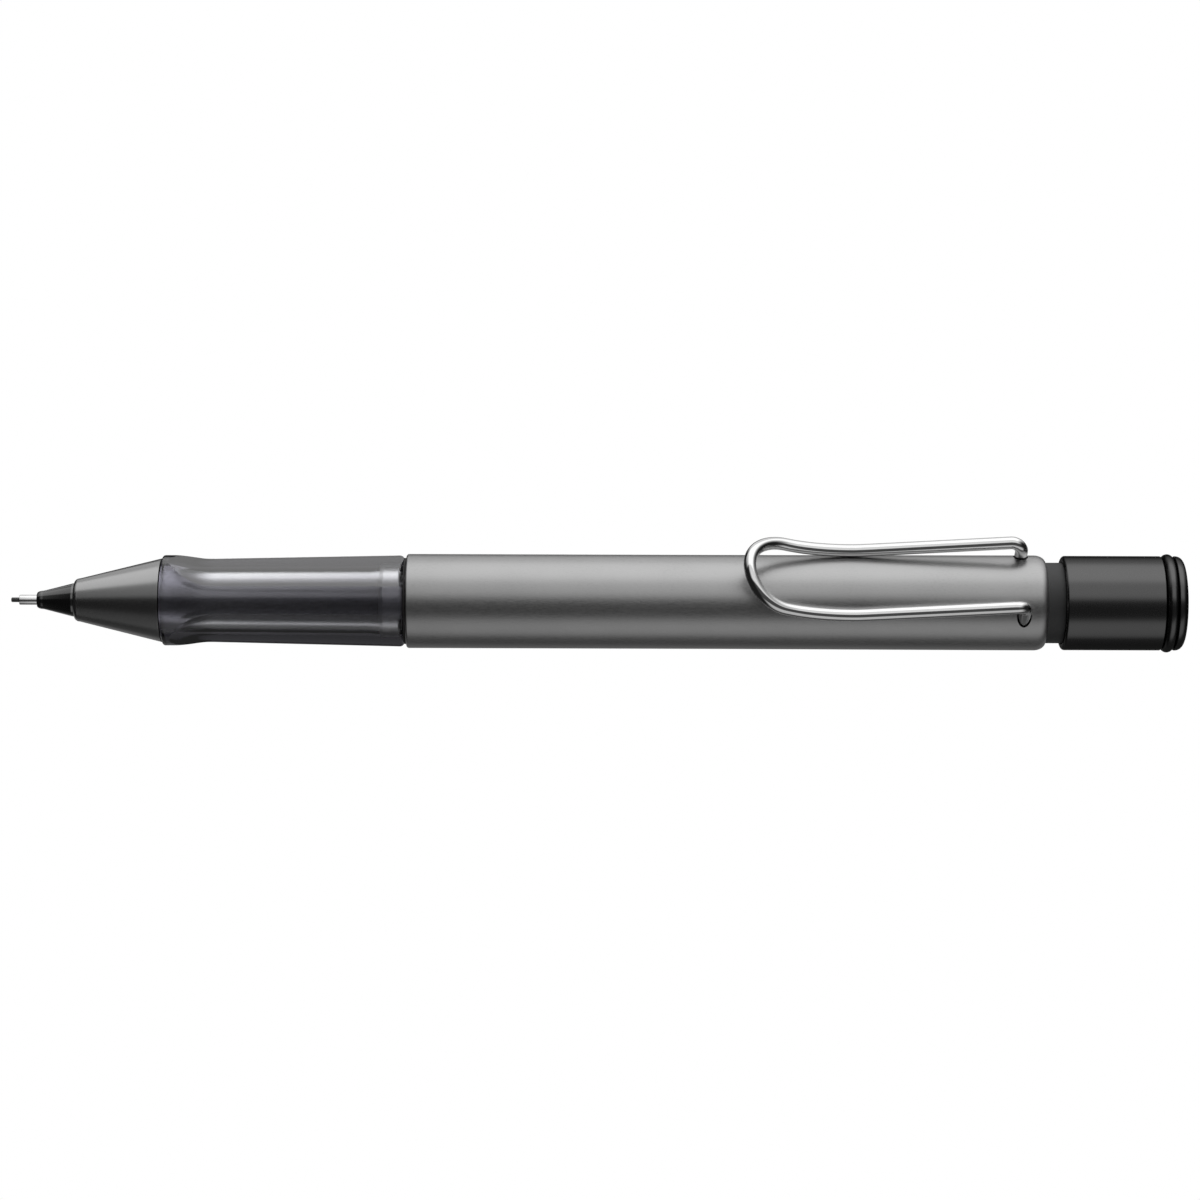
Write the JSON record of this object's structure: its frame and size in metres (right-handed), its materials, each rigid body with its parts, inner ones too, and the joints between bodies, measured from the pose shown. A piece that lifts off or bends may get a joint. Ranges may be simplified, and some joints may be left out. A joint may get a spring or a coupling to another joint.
{
  "type": "lead holder",
  "caption": "Push-button lead holder for thin leads, with a metal front cone, clear three-sided grip, tube barrel, wire clip, spring clutch and pull-off push button over an eraser.",
  "frame": {"origin": "the mouth of the guide sleeve, on the axis of the holder: the writing point, less the lead that stands out", "axes": "+X runs along the axis from the point to the push button; +Z is the clip side; +Y completes a right-handed set"},
  "size_m": [0.14, 0.0118, 0.0154],
  "materials": {
    "guide_sleeve": "drawn tube",
    "nose_tip": "gloss",
    "lead_retainer": "moulded",
    "front_cone": "dark satin anodised, turned",
    "grip": null,
    "grip_liner": "satin",
    "joint_ring": "moulded",
    "barrel": "graphite grey satin anodised",
    "barrel_insert": "turned",
    "neck_bush": "matt",
    "clutch_sleeve": "moulded",
    "return_spring": "spring wire",
    "clip": "bright round wire",
    "lead_tube": "extruded tube",
    "chuck_connector": "moulded",
    "chuck": "turned",
    "eraser_holder": "moulded",
    "eraser_ferrule": "drawn cup",
    "eraser": "soft vinyl",
    "clearing_needle": "wire",
    "lead": null,
    "button": "black satin"
  },
  "bodies": {
    "holder": {"guide_sleeve": "guide_sleeve", "nose_tip": "nose_tip", "lead_retainer": "lead_retainer", "front_cone": "front_cone", "grip": "grip", "grip_liner": "grip_liner", "joint_ring": "joint_ring", "barrel": "barrel", "barrel_insert": "barrel_insert", "neck_bush": "neck_bush", "clutch_sleeve": "clutch_sleeve", "return_spring": "return_spring"},
    "clip": {"clip": "clip"},
    "feed_unit": {"lead_tube": "lead_tube", "chuck_connector": "chuck_connector", "chuck_shank": "chuck", "eraser_holder": "eraser_holder", "eraser_ferrule": "eraser_ferrule", "eraser": "eraser", "clearing_needle": "clearing_needle", "spare_leads": "lead"},
    "jaw_1": {"chuck_jaw_1": "chuck"},
    "jaw_2": {"chuck_jaw_2": "chuck"},
    "jaw_3": {"chuck_jaw_3": "chuck"},
    "ring": {"clutch_ring": "chuck"},
    "lead": {"lead": "lead"},
    "cap": {"button": "button", "button_ring": "button", "button_plug": "button"}
  },
  "joints": [
    {"name": "button_press", "type": "slide", "parent": "holder", "child": "feed_unit", "axis": [-1, 0, 0], "range_m": [0, 0.0016], "stiffness_N_per_m": 500, "springref_m": -0.002, "deforming": ["return_spring"]},
    {"name": "jaw_1_open", "type": "hinge", "parent": "feed_unit", "child": "jaw_1", "pos_m": [0.0215, 0, 0.0006], "axis": [0, 1, 0], "range_deg": [0, 0.7]},
    {"name": "jaw_2_open", "type": "hinge", "parent": "feed_unit", "child": "jaw_2", "pos_m": [0.0215, -0.00052, -0.0003], "axis": [0, -0.5, 0.866], "range_deg": [0, 0.7]},
    {"name": "jaw_3_open", "type": "hinge", "parent": "feed_unit", "child": "jaw_3", "pos_m": [0.0215, 0.00052, -0.0003], "axis": [0, -0.5, -0.866], "range_deg": [0, 0.7]},
    {"name": "clutch_ring_slide", "type": "slide", "parent": "holder", "child": "ring", "axis": [-1, 0, 0], "range_m": [0, 0.00061]},
    {"name": "lead_feed", "type": "slide", "parent": "holder", "child": "lead", "axis": [-1, 0, 0], "range_m": [-0.00098, 0.006]},
    {"name": "cap_pull", "type": "slide", "parent": "feed_unit", "child": "cap", "axis": [1, 0, 0], "range_m": [0, 0.02]},
    {"name": "clip_flex", "type": "hinge", "parent": "holder", "child": "clip", "pos_m": [0.1195, 0, 0.0029], "axis": [0, 1, 0], "range_deg": [0, 4], "stiffness_Nm_per_rad": 2}
  ],
  "couplings": [
    {"joint": "clutch_ring_slide", "follows": "button_press", "ratio": 0.375},
    {"joint": "jaw_1_open", "follows": "button_press", "rad_per_m": 7.5},
    {"joint": "jaw_2_open", "follows": "button_press", "rad_per_m": 7.5},
    {"joint": "jaw_3_open", "follows": "button_press", "rad_per_m": 7.5}
  ]
}
